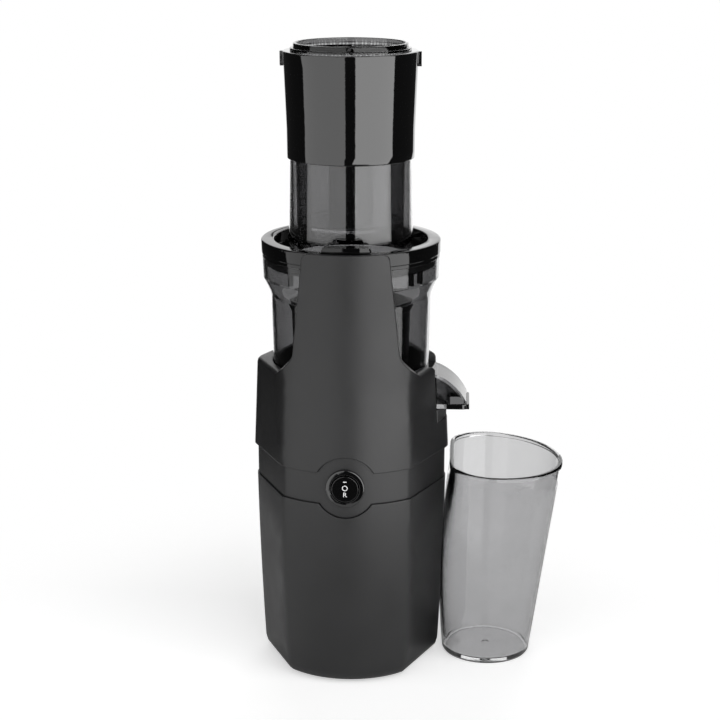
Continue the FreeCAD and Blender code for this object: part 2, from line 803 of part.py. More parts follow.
def juice_bowl():
    """The bowl in the well, with the juice spout to the right and the pulp spout behind."""
    z0 = well_floor
    step = z0 + bowl_step_height
    band = z0 + bowl_band_height
    floor_low = z0 + bowl_foot_height
    floor_high = floor_low + bowl_floor
    w = bowl_wall
    outer = revolved([
        (0, z0), (bowl_foot_r, z0), (bowl_step_r - 0.3, step - 3), (bowl_step_r, step),
        (bowl_band_low_r, band, 2.0), (bowl_rim_r, bowl_rim), (0, bowl_rim),
    ])
    hollow = revolved([
        (0, floor_high), (bowl_foot_r - w, floor_high, 3.0), (bowl_step_r - w, step - 1, 2.0),
        (bowl_band_low_r - w, band + 1, 2.0), (bowl_rim_r - w, bowl_rim + 1), (0, bowl_rim + 1),
    ])
    spouts = [hood(spout_half_width, spout_wall, spout_reach), hood(pulp_half_width, spout_wall, spout_reach)]
    core = outer
    core = core.fuse(spouts[0][0]).fuse(turned(spouts[1][0], 90))
    core = core.cut(hollow).cut(spouts[0][1]).cut(turned(spouts[1][1], 90))
    under = cylinder(bowl_foot_r - 9, z0 - 1, floor_low)
    boss = cylinder(seal_bore_r + w, z0 + 1, floor_low + 1)
    core = core.cut(under).fuse(boss)
    core = core.cut(cylinder(seal_bore_r, z0 - 1, floor_high + 1))
    return core.removeSplitter()


def bowl_seal():
    """The silicone ring between the bowl's floor and the auger's journal."""
    low = well_floor + bowl_foot_height + bowl_floor - seal_height
    return ring(seal_bore_r, auger_journal_r + running_gap, low, low + seal_height)


def strainer():
    """The strainer basket with its slots and a port for the pulp."""
    low = well_floor + bowl_foot_height + bowl_floor
    high = low + strainer_height
    foot = strainer_foot_r
    rim = strainer_rim_r
    t = strainer_wall
    wall = revolved([
        (foot - t, low), (foot + 1, low), (foot + 1, low + 4), (foot, low + 6), (rim, high - 6),
        (rim + 1.2, high - 5), (rim + 1.2, high), (rim - t, high),
    ])
    slot_low = low + strainer_margin
    slot_high = high - strainer_margin
    for k in range(strainer_slots):
        cut = block(foot - 3 * t, rim + 4, -strainer_slot_width / 2, strainer_slot_width / 2, slot_low, slot_high)
        wall = wall.cut(turned(cut, 360.0 * (k + 0.5) / strainer_slots))
    port = block(-pulp_half_width + 4, pulp_half_width - 4, 0, rim + 10, low + 3, low + 11)
    return wall.cut(port)


def flight(start_deg, low, high, foot_r, tip_r):
    """One screw flight, drawn through sections that climb round the core."""
    steps = int(flight_turns * 18)
    wires = []
    for k in range(steps + 1):
        share = k / steps
        a = math.radians(start_deg + 360.0 * flight_turns * share)
        z = low + (high - low) * share
        core = auger_core_foot_r + (auger_core_tip_r - auger_core_foot_r) * (z - low) / (high - low)
        full = foot_r + (tip_r - foot_r) * share
        fade = min(1.0, share * 6 + 0.25, (1 - share) * 6 + 0.05)
        edge = core + 1 + (full - core - 1) * fade
        root = core - 3

        def at(r, dz):
            return Vector(r * math.cos(a), r * math.sin(a), z + dz)

        corners = [at(root, -flight_root_half), at(edge, -flight_edge_half),
                   at(edge, flight_edge_half), at(root, flight_root_half), at(root, -flight_root_half)]
        wires.append(Part.makePolygon(corners))
    return Part.makeLoft(wires, True, True)


def auger():
    """The pressing screw: a tapered core with flights, a disc foot and a hexagonal socket."""
    floor_z = well_floor + bowl_foot_height + bowl_floor
    low = floor_z + 1.0
    disc_top = low + auger_disc_height
    top = low + auger_height
    disc_r = strainer_foot_r - strainer_wall - auger_gap
    rim_r = strainer_rim_r - strainer_wall - auger_gap - 1
    core = revolved([
        (0, well_floor + 2), (auger_journal_r, well_floor + 2), (auger_journal_r, low), (disc_r, low),
        (disc_r, disc_top), (auger_core_foot_r, disc_top + 3), (auger_core_tip_r, top - 4, 4.0), (0, top),
    ])
    flight_low = disc_top + 2
    shapes = [core]
    for k in range(flight_starts):
        shapes.append(flight(360.0 * k / flight_starts, flight_low, top - 8, disc_r, rim_r))
    screw_body = shapes[0].fuse(shapes[1:])
    flat = hex_half_flat + 0.2
    socket_top = well_floor + hex_height + 3
    corners = [Vector(*on_circle(flat / math.cos(math.pi / 6), 60 * k), well_floor + 1) for k in range(7)]
    socket = Part.Face(Part.makePolygon(corners)).extrude(Vector(0, 0, socket_top - well_floor - 1))
    return screw_body.cut(socket).removeSplitter()


def lid():
    """The gloss black lid: a flat ring, a trough round the feed tube and the lock lug."""
    ring_in = lid_r - lid_ring_width
    trough = tube_foot
    t = lid_top_thickness
    skirt_r = bowl_rim_r - bowl_wall - 2 * part_gap - 1.6
    body = revolved([
        (tube_bore_r, trough - t), (skirt_r - lid_skirt_wall, trough - t), (skirt_r - lid_skirt_wall, bowl_rim - lid_skirt_drop),
        (skirt_r, bowl_rim - lid_skirt_drop), (skirt_r, bowl_rim), (lid_r - 0.4, bowl_rim), (lid_r - 0.4, bowl_rim + 2.4),
        (lid_r, bowl_rim + 2.8), (lid_r, lid_top, lid_round), (ring_in, lid_top, 1.0), (ring_in, trough, 1.5),
        (tube_bore_r, trough),
    ])
    low_y = -lid_r + 1.2
    lug = extruded_xz([(-lug_half_width, lid_top - 1), (lug_half_width, lid_top - 1),
                       (lug_half_width - 2, lid_top + lug_height, 1.5),
                       (2 - lug_half_width, lid_top + lug_height, 1.5)], low_y, low_y + lug_depth)
    return body.fuse(lug.common(cylinder(lid_r - 0.6, lid_top - 2, lid_top + 20))).removeSplitter()


def lid_gasket():
    """The silicone ring between the lid's skirt and the bowl."""
    skirt_r = bowl_rim_r - bowl_wall - 2 * part_gap - 1.6
    outer = bowl_rim_r - bowl_wall - 0.35
    return ring(outer, skirt_r, bowl_rim - 4.5, bowl_rim - 1.0)


def feed_tube():
    """The wide smoke-coloured tube that stands in the lid."""
    return revolved([
        (tube_bore_r, tube_foot), (tube_low_r, tube_foot), (tube_top_r, tube_top - collar_height),
        (tube_top_r, tube_top), (tube_bore_r, tube_top),
    ])


def collar():
    """The gloss black sleeve round the top of the feed tube, with two grip lugs."""
    low = tube_top - collar_height
    body = revolved([
        (tube_top_r + part_gap / 2, low), (collar_low_r, low, 0.6), (collar_waist_r, low + collar_waist_height),
        (collar_top_r, tube_top + collar_lip, 1.0), (tube_bore_r + 1.0, tube_top + collar_lip),
        (tube_bore_r + 1.0, tube_top), (tube_top_r + part_gap / 2, tube_top),
    ])
    high = tube_top + 0.4
    for side in (-1, 1):
        x0, x1 = sorted((side * (collar_low_r - 0.4), side * (collar_top_r + grip_proud)))
        w = grip_half_width
        grip = extruded_yz([(-w, high - grip_height, w * 0.9), (w, high - grip_height, w * 0.9),
                            (w, high, 0.8), (-w, high, 0.8)], x0, x1)
        body = body.fuse(grip)
    return body.removeSplitter()


def pusher():
    """The hollow pusher that hangs in the tube by its flange, with a cross web to hold it by."""
    top = pusher_seat + pusher_flange + pusher_lip
    low = pusher_seat - pusher_length
    t = pusher_wall
    body = revolved([
        (0, low), (pusher_foot_r, low, 1.5), (pusher_top_r, pusher_seat), (pusher_flange_r, pusher_seat, 0.5),
        (pusher_flange_r, pusher_seat + pusher_flange, 0.8), (pusher_top_r + 0.3, pusher_seat + pusher_flange),
        (pusher_top_r + 0.1, top, 0.7), (pusher_top_r - t, top, 0.7), (pusher_foot_r - t, low + t, 2.0), (0, low + t),
    ])
    web_high = top - pusher_web_drop
    reach = pusher_top_r - t / 2
    web = block(-reach, reach, -pusher_web / 2, pusher_web / 2, web_high - pusher_web_depth, web_high)
    cross = web.fuse(turned(web, 90)).common(cylinder(pusher_foot_r - t / 2, low, top))
    return body.fuse(cross).removeSplitter()


def cup_wire(radius, x, z, inset=0.0, flat=None):
    """A circle about the cup's middle, cut by a flat with rounded ends where one is given."""
    r = radius - inset
    turn = math.radians(180 + cup_flat_turn)
    distance = r if flat is None else flat - inset
    fillet = max(cup_flat_round - inset, 5.0)

    def at(along, across):
        return Vector(x + along * math.cos(turn) - across * math.sin(turn),
                      cup_side_shift + along * math.sin(turn) + across * math.cos(turn), z)

    if flat is None:
        spread = math.radians(36)
        ends = [(r * math.cos(s * spread), r * math.sin(s * spread)) for s in (-2, -1, 1, 2)]
        a, b, c, d = [at(*p) for p in ends]
        mids = [at(r * math.cos(1.5 * s * spread), r * math.sin(1.5 * s * spread)) for s in (-1, 1)]
        middle = Part.Arc(b, at(r, 0), c).toShape()
    else:
        centre_along = distance - fillet
        centre_across = math.sqrt((r - fillet) ** 2 - centre_along ** 2)
        angle = math.atan2(centre_across, centre_along)
        a = at(r * math.cos(angle), -r * math.sin(angle))
        d = at(r * math.cos(angle), r * math.sin(angle))
        b = at(distance, -centre_across)
        c = at(distance, centre_across)
        half = angle / 2
        mids = [at(centre_along + fillet * math.cos(half), s * (centre_across + fillet * math.sin(half)))
                for s in (-1, 1)]
        middle = Part.makeLine(b, c)
    far = at(-r, 0)
    edges = [Part.Arc(a, mids[0], b).toShape(), middle, Part.Arc(c, mids[1], d).toShape(),
             Part.Arc(d, far, a).toShape()]
    return Part.Wire(edges)


def juice_cup():
    """The tapered juice cup, round at its foot and flattened towards the base at its rim."""
    x = cup_offset
    outer = Part.makeLoft([cup_wire(cup_foot_r, x, 0), cup_wire(cup_rim_r, x, cup_height, 0, cup_flat_distance)],
                          True, True)
    foot_in = cup_foot_r + (cup_rim_r - cup_foot_r) * cup_floor / cup_height
    inner = Part.makeLoft([cup_wire(foot_in, x, cup_floor, cup_wall),
                           cup_wire(cup_rim_r, x, cup_height, cup_wall, cup_flat_distance)], True, True)
    top = Part.Face(cup_wire(cup_rim_r, x, cup_height, cup_wall, cup_flat_distance)).extrude(Vector(0, 0, 1))
    bead = Part.Face(cup_wire(cup_rim_r, x, cup_height - cup_bead_height, -cup_bead, cup_flat_distance))
    bead = bead.extrude(Vector(0, 0, cup_bead_height))
    cup = outer.fuse(bead).cut(inner).cut(top)
    hollow = Part.makeCylinder(cup_foot_r - 4, 1.0, Vector(x, cup_side_shift, 0))
    return cup.cut(hollow).removeSplitter()


def all_nodes():
    """Every piece of the juicer by name."""
    nodes = {
        "lower_housing": lower_housing(),
        "switch_band": switch_band(),
        "upper_housing": upper_housing(),
        "base_cover": base_cover(),
        "foot_ring": foot_ring(),
        "cable_gland": cable_gland(),
        "juice_bowl": juice_bowl(),
        "bowl_seal": bowl_seal(),
        "strainer": strainer(),
        "auger": auger(),
        "lid": lid(),
        "lid_gasket": lid_gasket(),
        "feed_tube": feed_tube(),
        "tube_collar": collar(),
        "pusher": pusher(),
        "juice_cup": juice_cup(),
    }
    nodes.update(drive_nodes())
    nodes.update(fastener_nodes())
    nodes.update(switch_nodes())
    return nodes


def save(nodes):
    """Write each piece and say its volume and whether it is sound."""
    os.makedirs("parts", exist_ok=True)
    for name, shape in nodes.items():
        shape.exportStep(os.path.join("parts", name + ".step"))
        print(f"{name:24s} solids {len(shape.Solids)} valid {shape.isValid()} volume {shape.Volume / 1000:.2f} cm3")


save(all_nodes())
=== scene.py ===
# %% [markdown]
# A cold press juicer is a tall stack: a matt motor base with an arm in front, a smoke-coloured bowl in the
# base's well, a gloss black lid, a wide feed tube with a black collar, and a hollow pusher hanging in it.
# A tapered cup stands under the juice spout. The measured model comes first, and everything is built on it.

# %% Load the measured model
import json
import math

import bmesh
import bpy
from mathutils import Matrix, Vector


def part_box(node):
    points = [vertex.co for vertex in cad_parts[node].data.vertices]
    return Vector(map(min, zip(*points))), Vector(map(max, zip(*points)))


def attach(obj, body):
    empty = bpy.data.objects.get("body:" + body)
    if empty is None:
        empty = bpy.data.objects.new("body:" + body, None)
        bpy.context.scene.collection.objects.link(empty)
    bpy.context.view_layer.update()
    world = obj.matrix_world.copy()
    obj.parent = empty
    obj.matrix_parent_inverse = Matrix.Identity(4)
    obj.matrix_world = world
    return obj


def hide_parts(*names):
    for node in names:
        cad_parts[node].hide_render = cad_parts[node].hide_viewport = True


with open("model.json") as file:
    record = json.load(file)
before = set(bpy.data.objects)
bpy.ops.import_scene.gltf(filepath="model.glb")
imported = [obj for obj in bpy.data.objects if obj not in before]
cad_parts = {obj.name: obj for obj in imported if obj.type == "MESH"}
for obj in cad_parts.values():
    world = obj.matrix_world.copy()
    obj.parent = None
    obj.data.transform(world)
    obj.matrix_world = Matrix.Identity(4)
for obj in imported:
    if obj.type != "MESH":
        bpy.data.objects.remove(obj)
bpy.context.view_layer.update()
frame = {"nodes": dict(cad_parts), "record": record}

MM = 0.001
record = frame["record"]

# %% [markdown]
# The photograph was taken a little above the cup, with a long lens, from just right of the front.
# A lens of 85 mm on a 36 mm square frame gives the same gentle perspective.

# %% Camera
EYE = Vector((71.6, -1135.8, 534.0)) * MM
LOOK_YAW = math.radians(3.3)
LOOK_DOWN = math.radians(15.6)
LENS = 85.0
FILM = 36.0
CAMERA_REACH = 60.0


def make_camera():
    """A camera at the photograph's viewing angle."""
    data = bpy.data.cameras.new("camera")
    data.lens = LENS
    data.sensor_width = FILM
    data.clip_end = CAMERA_REACH
    camera = bpy.data.objects.new("camera", data)
    ahead = Vector((-math.sin(LOOK_YAW), math.cos(LOOK_YAW), 0)) * math.cos(LOOK_DOWN)
    ahead.z = -math.sin(LOOK_DOWN)
    camera.location = EYE
    camera.rotation_euler = ahead.to_track_quat("-Z", "Y").to_euler()
    bpy.context.scene.collection.objects.link(camera)
    bpy.context.scene.camera = camera
    print("camera at", [round(v, 3) for v in EYE])


make_camera()
bpy.context.scene.view_settings.view_transform = "Standard"

# %% [markdown]
# Polished black plastic has hardly any colour of its own: what the eye reads is the room in it. The studio
# is a dark room with two tall soft panels in front, a narrow dark gap between them and a pale panel behind.
# The panels are drawn in the world by direction, so they are large, soft and the same for every piece.

# %% Studio light by direction
TO_CAMERA = Vector((EYE.x, EYE.y, 0)).normalized()
PANELS = [
    # left, right, low and high edge in degrees, then strength; 0 across is the camera, positive to its right
    (-90.0, -9.0, -30.0, 62.0, 1.15),
    (7.0, 80.0, -30.0, 62.0, 2.35),
    (148.0, 180.0, -30.0, 70.0, 1.3),
    (-180.0, -160.0, -30.0, 70.0, 1.2),
]
PANEL_SIDE, PANEL_FOOT, PANEL_HEAD = 1.5, 3.0, 12.0  # degrees over which each edge fades
ROOM_GLOW = 0.025
CEILING_GLOW = 0.4
CEILING_FROM, CEILING_TO = 45.0, 80.0
WHITE = (1.0, 1.0, 1.0, 1.0)


class Graph:
    """Short calls that add and join the nodes of one material or world."""

    def __init__(self, tree):
        self.tree = tree
        tree.nodes.clear()

    def node(self, kind, inputs=None, **settings):
        """A node with its settings and inputs; an input is a value or another node's output."""
        made = self.tree.nodes.new(kind)
        for key, value in settings.items():
            setattr(made, key, value)
        for key, value in (inputs or {}).items():
            if isinstance(value, bpy.types.NodeSocket):
                self.tree.links.new(value, made.inputs[key])
            else:
                made.inputs[key].default_value = value
        return made

    def math(self, operation, a, b=0.0):
        """One sum on two values."""
        return self.node("ShaderNodeMath", {0: a, 1: b}, operation=operation).outputs[0]

    def step(self, value, low, high):
        """A smooth climb from 0 to 1 between two values."""
        ramp = self.node("ShaderNodeMapRange", {"Value": value, "From Min": low, "From Max": high},
                         interpolation_type="SMOOTHSTEP")
        return ramp.outputs["Result"]


def seen_clear(g):
    """Two values of 0 or 1: seen by the camera straight or through clear pieces, and only through them."""
    path = g.node("ShaderNodeLightPath")
    unturned = g.math("LESS_THAN", path.outputs["Glossy Depth"], 0.5)
    through = g.math("MULTIPLY", path.outputs["Is Transmission Ray"], unturned)
    return g.math("MAXIMUM", path.outputs["Is Camera Ray"], through), through


def make_world():
    """The studio: panels by direction for light and reflections, and plain white behind the object."""
    world = bpy.data.worlds.new("studio")
    world.use_nodes = True
    bpy.context.scene.world = world
    g = Graph(world.node_tree)
    toward = g.node("ShaderNodeTexCoord").outputs["Generated"]
    split = g.node("ShaderNodeSeparateXYZ", {0: toward})
    x, y, z = split.outputs
    along = g.math("ADD", g.math("MULTIPLY", x, TO_CAMERA.x), g.math("MULTIPLY", y, TO_CAMERA.y))
    side = g.math("SUBTRACT", g.math("MULTIPLY", y, TO_CAMERA.x), g.math("MULTIPLY", x, TO_CAMERA.y))
    azimuth = g.math("MULTIPLY", g.math("ARCTAN2", side, along), 180 / math.pi)
    height = g.math("MULTIPLY", g.math("ARCSINE", z), 180 / math.pi)
    ceiling = g.step(height, CEILING_FROM, CEILING_TO)
    light = g.math("ADD", ROOM_GLOW, g.math("MULTIPLY", ceiling, CEILING_GLOW))
    for left, right, low, high, strength in PANELS:
        across = g.math("MULTIPLY", g.step(azimuth, left, left + PANEL_SIDE),
                        g.step(azimuth, right, right - PANEL_SIDE))
        up = g.math("MULTIPLY", g.step(height, low, low + PANEL_FOOT),
                    g.step(height, high, high - PANEL_HEAD))
        light = g.math("ADD", light, g.math("MULTIPLY", g.math("MULTIPLY", across, up), strength))
    clear = seen_clear(g)[0]
    studio = g.node("ShaderNodeBackground", {"Color": WHITE, "Strength": light})
    white = g.node("ShaderNodeBackground", {"Color": WHITE, "Strength": 1.0})
    both = g.node("ShaderNodeMixShader", {0: clear, 1: studio.outputs[0], 2: white.outputs[0]})
    g.node("ShaderNodeOutputWorld", {"Surface": both.outputs[0]})
    print("studio panels:", len(PANELS))


make_world()

# %% [markdown]
# The floor is a round white table. The camera looks down, so the polished sides high up mirror what lies
# beyond the table's edge, which is why they show the panels, and the matt sides low down mirror the table.
# To the camera it glows a little and fades into the white behind it, with the juicer's soft shadow kept.
# Seen through a clear piece it is paler still, because no light is traced down through the clear walls.

# %% Table
TABLE_RADIUS = 0.40
TABLE_COLOR = 0.80
TABLE_LIFT = 0.47
TABLE_THROUGH = 0.4
FADE_FROM, FADE_TO = 0.16, 0.38


def make_table():
    """A round pale table top at the height of the foot."""
    bm = bmesh.new()
    bmesh.ops.create_circle(bm, cap_ends=True, segments=128, radius=TABLE_RADIUS)
    mesh = bpy.data.meshes.new("table")
    bm.to_mesh(mesh)
    bm.free()
    table = bpy.data.objects.new("table", mesh)
    bpy.context.scene.collection.objects.link(table)
    material = bpy.data.materials.new("white_table")
    material.use_nodes = True
    g = Graph(material.node_tree)
    place = g.node("ShaderNodeTexCoord").outputs["Object"]
    away = g.node("ShaderNodeVectorMath", {0: place}, operation="LENGTH").outputs["Value"]
    far = g.step(away, FADE_FROM, FADE_TO)
    clear, through = seen_clear(g)
    paper = g.node("ShaderNodeBsdfDiffuse", {"Color": (TABLE_COLOR,) * 3 + (1,)})
    lift = g.node("ShaderNodeEmission", {"Strength": g.math("MULTIPLY", clear, TABLE_LIFT)})
    near = g.node("ShaderNodeAddShader", {0: paper.outputs[0], 1: lift.outputs[0]})
    white = g.node("ShaderNodeEmission", {"Strength": 1.0})
    beyond = g.math("MULTIPLY", clear, far)
    pure = g.math("MAXIMUM", beyond, g.math("MULTIPLY", through, TABLE_THROUGH))
    faded = g.node("ShaderNodeMixShader", {0: pure, 1: near.outputs[0], 2: white.outputs[0]})
    g.node("ShaderNodeOutputMaterial", {"Surface": faded.outputs[0]})
    mesh.materials.append(material)
    print("table radius:", TABLE_RADIUS)


make_table()

# %% [markdown]
# The finishes. The base is a fine matt moulding, so its colour is nearly black and a broad soft gloss gives
# it its grey. The smoke pieces are clear plastic with a grey tint, and light loses half to two thirds of its
# strength in each wall. Every finish has its own small grain: a bump from noise at the real texture's size.

# %% Finishes
NOISE_LOW, NOISE_HIGH = 0.3, 0.7  # most of what the noise gives lies between these
ROUGH_SPREAD = 0.12
FINE_DETAIL, SLOW_DETAIL = 4.0, 3.0
PATCHES = 30.0
COAT_ROUGHNESS = 0.03


def finish(name, color, roughness, **options):
    """A material with a little grain; options: metal, clear, specular, ior, coat, grain, depth, mottle and
    rounding, which softens its edges by a radius."""
    material = bpy.data.materials.new(name)
    material.use_nodes = True
    g = Graph(material.node_tree)
    place = g.node("ShaderNodeTexCoord").outputs["Object"]
    grain = options.get("grain", 0.0006)
    noise = g.node("ShaderNodeTexNoise", {"Vector": place, "Scale": 1 / grain, "Detail": FINE_DETAIL})
    slow = g.node("ShaderNodeTexNoise", {"Vector": place, "Scale": PATCHES, "Detail": SLOW_DETAIL})
    rough = g.node("ShaderNodeMapRange", {
        "Value": slow.outputs[0], "From Min": NOISE_LOW, "From Max": NOISE_HIGH,
        "To Min": roughness * (1 - ROUGH_SPREAD), "To Max": roughness * (1 + ROUGH_SPREAD)})
    bump = g.node("ShaderNodeBump", {"Height": noise.outputs[0], "Strength": options.get("depth", 0.1),
                                     "Distance": grain * 0.5})
    if options.get("rounding"):
        soft = g.node("ShaderNodeBevel", {"Radius": options["rounding"]}, samples=6)
        g.tree.links.new(soft.outputs[0], bump.inputs["Normal"])
    vary = options.get("mottle", 0.1)
    tint = g.node("ShaderNodeMapRange", {"Value": slow.outputs[0], "From Min": NOISE_LOW,
                                         "From Max": NOISE_HIGH, "To Min": 1 - vary, "To Max": 1 + vary})
    base = g.node("ShaderNodeVectorMath", {0: color, "Scale": tint.outputs[0]}, operation="SCALE")
    shader = g.node("ShaderNodeBsdfPrincipled", {
        "Base Color": base.outputs[0], "Roughness": rough.outputs[0], "Normal": bump.outputs[0],
        "Metallic": options.get("metal", 0.0), "Transmission Weight": options.get("clear", 0.0),
        "Specular IOR Level": options.get("specular", 0.5), "IOR": options.get("ior", 1.5),
        "Coat Weight": options.get("coat", 0.0), "Coat Roughness": COAT_ROUGHNESS})
    g.node("ShaderNodeOutputMaterial", {"Surface": shader.outputs[0]})
    return material


FINISHES = {
    "housing": finish("housing_matt", (0.009, 0.009, 0.0095), 0.4, specular=0.62, grain=0.0005, depth=0.22,
                      rounding=0.0011),
    "gloss_black": finish("black_gloss", (0.0015, 0.0015, 0.0016), 0.035, specular=1.0, coat=0.25,
                          depth=0.012, grain=0.004, rounding=0.0005),
    "smoke": finish("smoke_clear", (0.33, 0.33, 0.335), 0.02, clear=1.0, specular=0.75, ior=1.5, depth=0.01,
                    grain=0.006, mottle=0.03),
    "cup": finish("cup_clear", (0.63, 0.63, 0.635), 0.025, clear=1.0, ior=1.49, depth=0.015, grain=0.008,
                  mottle=0.02),
    "strainer": finish("strainer_dark", (0.02, 0.02, 0.021), 0.35),
    "auger": finish("auger_dark", (0.018, 0.018, 0.019), 0.3),
    "steel": finish("turned_steel", (0.55, 0.55, 0.56), 0.3, metal=1.0, grain=0.0003),
    "bronze": finish("sintered_bronze", (0.5, 0.34, 0.16), 0.45, metal=1.0, grain=0.0003),
    "copper": finish("winding_copper", (0.6, 0.3, 0.15), 0.35, metal=1.0, grain=0.0008, depth=0.4),
    "ferrite": finish("ferrite_grey", (0.07, 0.07, 0.075), 0.7),
    "gear": finish("acetal_white", (0.72, 0.7, 0.65), 0.4),
    "gearbox": finish("filled_plastic", (0.07, 0.07, 0.075), 0.5),
    "rubber": finish("foot_rubber", (0.015, 0.015, 0.015), 0.75, grain=0.0004, depth=0.3),
    "silicone": finish("seal_silicone", (0.07, 0.07, 0.072), 0.45),
}
SMOKE_THIN = finish("smoke_thin", (0.46, 0.46, 0.465), 0.02, clear=1.0, specular=1.0, coat=0.6, ior=1.5,
                    depth=0.01, grain=0.006, mottle=0.03)
SMOKE_THICK = finish("smoke_thick", (0.15, 0.15, 0.152), 0.02, clear=1.0, specular=0.75, ior=1.5, depth=0.01,
                     grain=0.006, mottle=0.03)
LID_BLACK = finish("lid_gloss", (0.0015, 0.0015, 0.0016), 0.04, specular=0.6, depth=0.012, grain=0.004,
                   rounding=0.0005)
MARK_WHITE = finish("mark_print", (0.78, 0.78, 0.78), 0.5, mottle=0.03)
print("finishes:", len(FINISHES))

# %% [markdown]
# Each node of the measured model names its material slot, so a loop can give every node its finish.

# %% Give every node its finish
SLOTS = {row["node"]: row["material_slot"] for row in record["subparts"]}
for name, node in frame["nodes"].items():
    node.data.materials.clear()
    node.data.materials.append(FINISHES[SLOTS[name]])
BODY_OF = {node: body for body, nodes in record["behaviour"]["bodies"].items() for node in nodes}

# %% [markdown]
# The measured meshes are loose triangles. Gloss shows every facet, so a smooth skin is made from a copy of
# each: its doubles are merged and only edges that turn sharply stay sharp.

# %% Smooth skins


def as_piece(bm, name, body, slot, material=None, sharp=32.0):
    """Makes an object from a mesh, smooth but for its sharp edges, that rides on a body."""
    limit = math.radians(sharp)
    for face in bm.faces:
        face.smooth = True
    for edge in bm.edges:
        edge.smooth = len(edge.link_faces) == 2 and edge.calc_face_angle(0.0) < limit
    mesh = bpy.data.meshes.new(name)
    bm.to_mesh(mesh)
    bm.free()
    mesh.materials.append(material or FINISHES[slot])
    piece = bpy.data.objects.new(name, mesh)
    bpy.context.scene.collection.objects.link(piece)
    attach(piece, body)
    return piece


def skin(node, material=None, sharp=32.0):
    """A smooth copy of a node's mesh that stands for it."""
    bm = bmesh.new()
    bm.from_mesh(frame["nodes"][node].data)
    bmesh.ops.remove_doubles(bm, verts=bm.verts, dist=2e-6)
    piece = as_piece(bm, node + "_skin", BODY_OF[node], SLOTS[node], material, sharp)
    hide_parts(node)
    return piece


SKINNED = ["lower_housing", "upper_housing", "switch_band", "juice_bowl", "strainer", "auger", "lid",
           "feed_tube", "tube_collar", "pusher", "switch_bezel", "switch_rocker",
           "cable_gland", "foot_ring", "base_cover", "lid_gasket", "bowl_seal", "output_shaft"]
OWN_FINISH = {"feed_tube": SMOKE_THIN, "pusher": SMOKE_THIN, "lid": LID_BLACK}
for node in SKINNED:
    skin(node, OWN_FINISH.get(node))
print("smooth skins:", len(SKINNED))

# %% [markdown]
# The spout's walls and the pusher's rim are thicker than the rest, so their faces get a darker smoke.

# %% Thick walls of the spout and the pusher's rim
SPOUT_FROM_X = 60.5 * MM
SPOUT_TOP_Z = 216.0 * MM
RIM_TALL = 4.0 * MM
RIM_FROM_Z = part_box("pusher")[1].z - RIM_TALL


def darken(node, inside):
    """Gives the darker smoke to the faces of a skin whose middle passes a test."""
    mesh = bpy.data.objects[node + "_skin"].data
    mesh.materials.append(SMOKE_THICK)
    chosen = [face for face in mesh.polygons if inside(face.center)]
    for face in chosen:
        face.material_index = 1
    print(node, "darker faces:", len(chosen))


darken("juice_bowl", lambda place: place.x > SPOUT_FROM_X and place.z < SPOUT_TOP_Z)
darken("pusher", lambda place: place.z > RIM_FROM_Z)

# %% [markdown]
# The rocker carries three printed marks: a short bar, a ring and a letter. They are thin flat pieces about
# a tenth of a millimetre thick that lie on the rocker's face and tilt with it.

# %% Marks on the switch
ROCKER_LOW, ROCKER_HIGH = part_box("switch_rocker")
FACE_Y = ROCKER_LOW.y
SWITCH_Z = (ROCKER_LOW.z + ROCKER_HIGH.z) / 2
MARK_THICK = 0.12 * MM
MARK_STANDS = 0.4 * MARK_THICK  # the middle of a mark in front of the face, so that a tenth is sunk in it
BAR_SIZE = Vector((2.2 * MM, 0.55 * MM, MARK_THICK))
RING_RADIUS, RING_LINE = 1.9 * MM, 0.5 * MM
LETTER_SIZE = 4.6 * MM
BAR_RISE, RING_RISE, LETTER_RISE = 5.3 * MM, 0.9 * MM, -3.9 * MM


def on_face(bm, rise):
    """Stands a flat mark up against the rocker's face, at a height above its middle."""
    turn = Matrix.Rotation(math.radians(90), 4, "X")
    bmesh.ops.transform(bm, matrix=turn, verts=bm.verts)
    bmesh.ops.translate(bm, vec=(0, FACE_Y - MARK_STANDS, SWITCH_Z + rise), verts=bm.verts)


def bar_mark():
    """The short bar at the top."""
    bm = bmesh.new()
    bmesh.ops.create_cube(bm, size=1.0)
    bmesh.ops.scale(bm, vec=BAR_SIZE, verts=bm.verts)
    on_face(bm, BAR_RISE)
    as_piece(bm, "mark_bar", "rocker", "gloss_black", MARK_WHITE)


def ring_mark():
    """The ring in the middle: a disc inset once, with its middle taken out."""
    bm = bmesh.new()
    bmesh.ops.create_circle(bm, cap_ends=True, segments=48, radius=RING_RADIUS)
    face = bm.faces[:]
    bmesh.ops.inset_region(bm, faces=face, thickness=RING_LINE, use_boundary=True)
    bmesh.ops.delete(bm, geom=face, context="FACES")
    grown = bmesh.ops.extrude_face_region(bm, geom=bm.faces[:])
    top = [v for v in grown["geom"] if isinstance(v, bmesh.types.BMVert)]
    bmesh.ops.translate(bm, vec=(0, 0, MARK_THICK), verts=top)
    bmesh.ops.translate(bm, vec=(0, 0, -MARK_THICK / 2), verts=bm.verts)
    bmesh.ops.recalc_face_normals(bm, faces=bm.faces)
    on_face(bm, RING_RISE)
    as_piece(bm, "mark_ring", "rocker", "gloss_black", MARK_WHITE)


def letter_mark():
    """The letter for reverse, from a text outline made into a mesh."""
    curve = bpy.data.curves.new("letter", "FONT")
    curve.body = "R"
    curve.size = LETTER_SIZE
    curve.align_x = "CENTER"
    curve.align_y = "CENTER"
    curve.extrude = MARK_THICK / 2
    holder = bpy.data.objects.new("letter", curve)
    bpy.context.scene.collection.objects.link(holder)
    bpy.context.view_layer.update()
    mesh = bpy.data.meshes.new_from_object(holder)
    bpy.data.objects.remove(holder)
    bm = bmesh.new()
    bm.from_mesh(mesh)
    on_face(bm, LETTER_RISE)
    as_piece(bm, "mark_reverse", "rocker", "gloss_black", MARK_WHITE)


